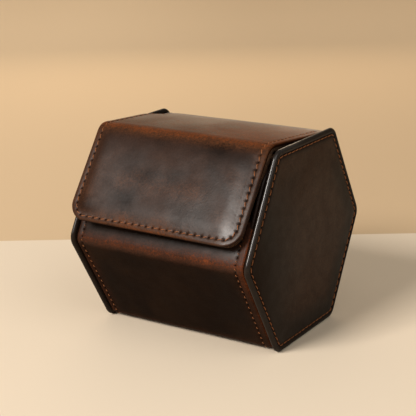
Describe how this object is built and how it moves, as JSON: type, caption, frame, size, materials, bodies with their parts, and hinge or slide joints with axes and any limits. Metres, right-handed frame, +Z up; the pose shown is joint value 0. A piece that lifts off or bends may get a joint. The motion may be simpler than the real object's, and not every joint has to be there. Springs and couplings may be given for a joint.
{
  "type": "pocket watch display box",
  "caption": "Hexagonal leather-wrapped box with a wrap-over flap hinged at the rear and folded at the front, and a padded well inside for one pocket watch.",
  "frame": {"origin": "midway between the two ends and under the middle of their hexagons, on the surface that the end rims stand on", "axes": "+X along the box towards its right-hand end as seen from the front, +Y towards the hinge side, so the front faces -Y, +Z up"},
  "size_m": [0.092, 0.103, 0.0913],
  "materials": {
    "end_leather": "near-black brown waxed leather with a glossy turned rim",
    "gusset_leather": "burnished chestnut leather edge",
    "shell_leather": "dark brown pull-up leather, paler and redder at the bends",
    "flap_leather": "smoky dark brown pull-up leather with a soft sheen",
    "flap_backing": "brown inner leather",
    "board": "grey bookbinding board",
    "suede_lining": "tan suede",
    "suede_pad": "soft tan suede over foam",
    "cup": "moulded leather",
    "rail_wood": "planed beech",
    "magnet": "nickel-plated disc",
    "tab_leather": "dark brown leather"
  },
  "bodies": {
    "shell": {"end_cover_left": "end_leather", "end_cover_right": "end_leather", "end_board_left": "board", "end_board_right": "board", "end_gusset_left": "gusset_leather", "end_gusset_right": "gusset_leather", "end_panel_left": "suede_lining", "end_panel_right": "suede_lining", "shell_leather": "shell_leather", "shell_lining": "suede_lining", "lip_board": "board", "lower_front_board": "board", "base_board": "board", "lower_rear_board": "board", "upper_rear_board": "board", "lip_magnets": "magnet", "hinge_leather": "flap_leather", "hinge_lining": "flap_backing", "deck_pad": "suede_pad", "deck_board": "board", "watch_cup": "cup", "cup_pad": "suede_pad", "insert_rail_left": "rail_wood", "insert_rail_right": "rail_wood", "pull_tab": "tab_leather"},
    "flap_top": {"flap_top_leather": "flap_leather", "flap_top_board": "board", "flap_top_backing": "flap_backing", "fold_leather": "flap_leather", "fold_lining": "flap_backing"},
    "flap_front": {"flap_front_leather": "flap_leather", "flap_front_board": "board", "flap_front_backing": "flap_backing", "flap_magnets": "magnet"}
  },
  "joints": [
    {"name": "flap_hinge", "type": "hinge", "parent": "shell", "child": "flap_top", "pos_m": [0, 0.02568, 0.08802], "axis": [-1, 0, 0], "range_deg": [0, 225], "deforming": ["hinge_leather", "hinge_lining"]},
    {"name": "flap_fold", "type": "hinge", "parent": "flap_top", "child": "flap_front", "pos_m": [0, -0.02588, 0.09149], "axis": [-1, 0, 0], "range_deg": [0, 57], "deforming": ["fold_leather", "fold_lining"]}
  ]
}
